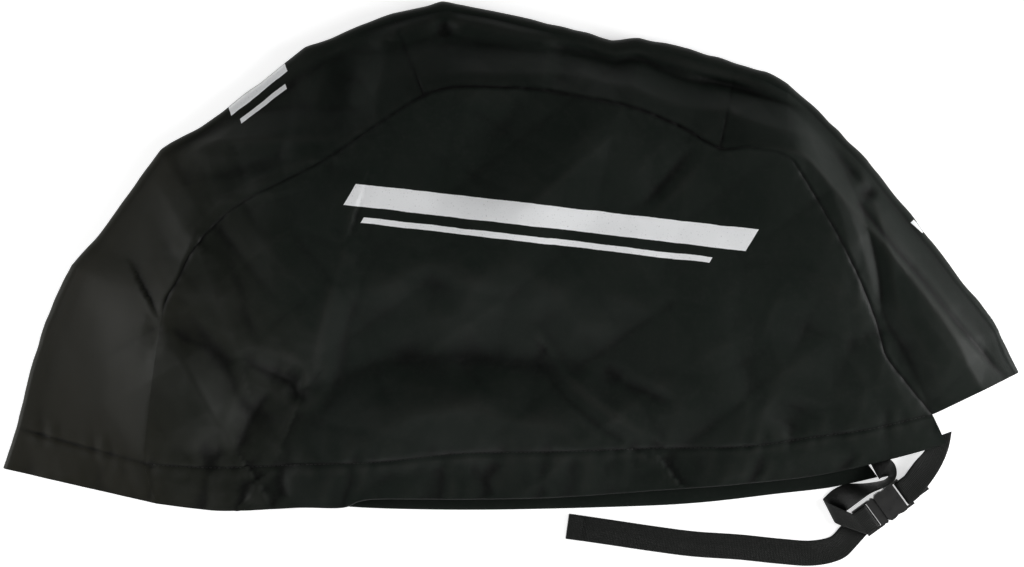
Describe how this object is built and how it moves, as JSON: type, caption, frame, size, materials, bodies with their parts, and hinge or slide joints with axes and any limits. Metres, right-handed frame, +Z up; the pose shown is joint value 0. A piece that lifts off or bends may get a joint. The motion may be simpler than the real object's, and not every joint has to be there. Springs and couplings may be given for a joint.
{
  "type": "outboard motor cover",
  "caption": "Fitted black cloth cover for an outboard motor's cowl, empty and lying on its side, with a turned hem, a webbing strap and a side-release buckle.",
  "frame": {"origin": "on the surface that the cover lies on, under the middle of its outline", "axes": "+Z up from the surface, +X along the hem from the front foot to the rear corner, +Y from the hem towards the top of the cover, so the open hem faces -Y"},
  "size_m": [0.9956, 0.553, 0.0611],
  "materials": {
    "coated_cloth": "black coated polyester with a fine plain weave and a faint sheen",
    "webbing": "black ribbed webbing",
    "buckle_plastic": "black moulded plastic, fine texture"
  },
  "bodies": {
    "root": {"side_panel_upper": "coated_cloth", "side_panel_lower": "coated_cloth", "front_panel": "coated_cloth", "top_panel": "coated_cloth", "rear_panel": "coated_cloth", "anchor_strap": "webbing", "pull_strap": "webbing", "buckle_socket": "buckle_plastic", "buckle_plug": "buckle_plastic"}
  },
  "joints": []
}
